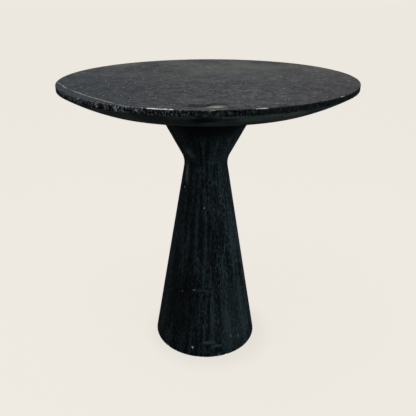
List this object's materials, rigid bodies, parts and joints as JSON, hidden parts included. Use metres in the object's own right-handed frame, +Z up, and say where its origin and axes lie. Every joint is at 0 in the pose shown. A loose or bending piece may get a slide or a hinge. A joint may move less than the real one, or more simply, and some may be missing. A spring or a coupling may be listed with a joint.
{
  "type": "round pedestal table",
  "caption": "Round stone table: a thick bevelled top that spins onto a tie rod through a solid turned pedestal with a narrow waist, felt underneath.",
  "frame": {"origin": "on the floor, at the centre of the foot, on the table's axis", "axes": "+Z up along the table's axis; X and Y are any two horizontal directions, because the table is round"},
  "size_m": [0.7, 0.7, 0.72],
  "materials": {
    "dark_stone": "honed and waxed dark green-black stone with fine pale veins",
    "zinc_steel": "bright zinc plating",
    "black_steel": "black oxide",
    "brass": "machined",
    "white_nylon": "natural nylon",
    "cork": "fine-grained cork sheet",
    "grey_felt": "dense wool felt"
  },
  "bodies": {
    "pedestal": {"pedestal": "dark_stone", "tie_rod": "zinc_steel", "upper_bush": "white_nylon", "lower_bush": "white_nylon", "head_washer": "zinc_steel", "head_nut": "zinc_steel", "anchor_plate": "black_steel", "disc_spring": "zinc_steel", "foot_nut": "zinc_steel", "head_gasket": "cork", "foot_felt": "grey_felt"},
    "washer": {"slip_washer": "white_nylon"},
    "top": {"tabletop": "dark_stone", "mounting_plate": "black_steel", "plate_hub": "black_steel", "plate_screw_1": "zinc_steel", "plate_screw_2": "zinc_steel", "plate_screw_3": "zinc_steel", "plate_screw_4": "zinc_steel", "plate_screw_5": "zinc_steel", "plate_screw_6": "zinc_steel", "threaded_insert_1": "brass", "threaded_insert_2": "brass", "threaded_insert_3": "brass", "threaded_insert_4": "brass", "threaded_insert_5": "brass", "threaded_insert_6": "brass"}
  },
  "joints": [
    {"name": "top_lift", "type": "slide", "parent": "pedestal", "child": "washer", "axis": [0, 0, 1], "range_m": [0, 0.024]},
    {"name": "top_turn", "type": "hinge", "parent": "washer", "child": "top", "pos_m": [0, 0, 0.672], "axis": [0, 0, 1], "range_deg": [0, 4320]}
  ],
  "couplings": [
    {"joint": "top_lift", "follows": "top_turn", "m_per_rad": 0.0003183}
  ]
}
